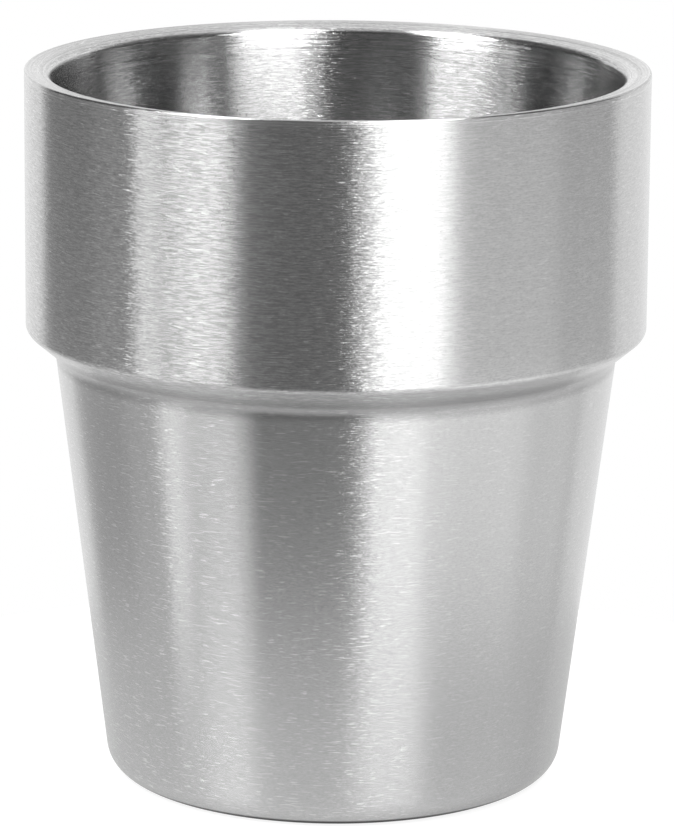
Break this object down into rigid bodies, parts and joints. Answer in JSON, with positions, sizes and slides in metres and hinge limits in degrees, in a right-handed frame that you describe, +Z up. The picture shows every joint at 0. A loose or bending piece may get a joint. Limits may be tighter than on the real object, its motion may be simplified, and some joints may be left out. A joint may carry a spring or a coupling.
{
  "type": "double-wall steel cup",
  "caption": "Double-wall brushed stainless steel cup with a straight collar, a sloping lip, a stepped shoulder for nesting, a tapered body and a recessed base plate.",
  "frame": {"origin": "on the cup's axis, in the plane of the table that the foot stands on", "axes": "+Z up along the cup's axis, out of the mouth; the cup is round, so +X and +Y are any two directions square to it"},
  "size_m": [0.08, 0.08, 0.0925],
  "materials": {
    "shell_steel": "fine brush lines around the cup, with short handling scratches",
    "liner_steel": "fine brush lines around the bore",
    "base_steel": "satin, turned marks around the centre",
    "rim_weld_steel": "ground flush and polished",
    "base_weld_steel": "dull weld bead"
  },
  "bodies": {
    "root": {"outer_shell": "shell_steel", "inner_liner": "liner_steel", "base_plate": "base_steel", "rim_weld": "rim_weld_steel", "base_weld": "base_weld_steel"}
  },
  "joints": []
}
